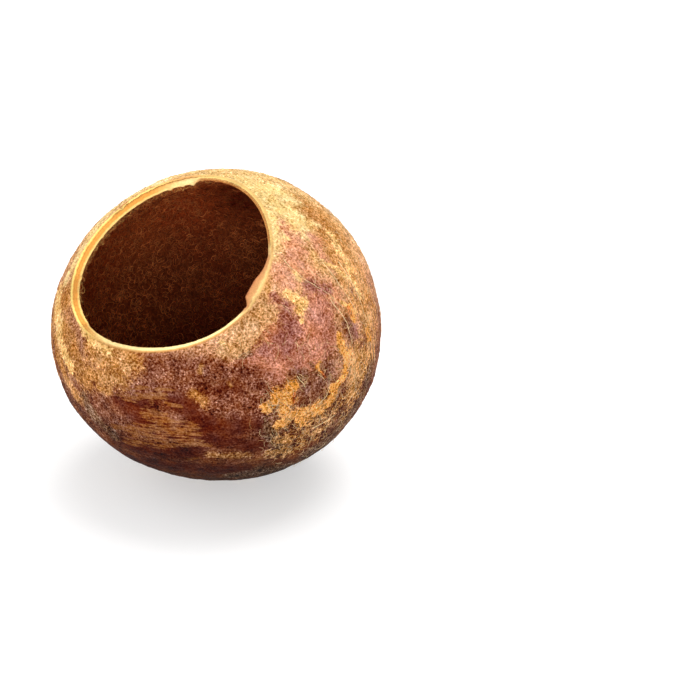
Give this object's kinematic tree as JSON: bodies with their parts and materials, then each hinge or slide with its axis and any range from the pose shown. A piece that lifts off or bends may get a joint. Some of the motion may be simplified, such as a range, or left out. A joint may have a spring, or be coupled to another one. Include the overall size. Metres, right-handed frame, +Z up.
{
  "type": "dried bell cup pod",
  "caption": "Dried woody seed pod, a hollow lumpy ball cut open by a slanting round mouth, with a fibre-lined inside, resting on its base.",
  "frame": {"origin": "bottom centre of the pod's box, on the surface that the pod rests on", "axes": "+Z up, -Y towards the side that the slanting mouth faces, +X to the pod's right as seen from behind the mouth, its longest side"},
  "size_m": [0.078, 0.0716, 0.0711],
  "materials": {
    "dried_rind": "matt, leathery, finely pitted maroon and ochre skin",
    "fibre_lining": "matt felt of fine curly brown fibres"
  },
  "bodies": {
    "root": {"pod_shell": "dried_rind"}
  },
  "joints": []
}
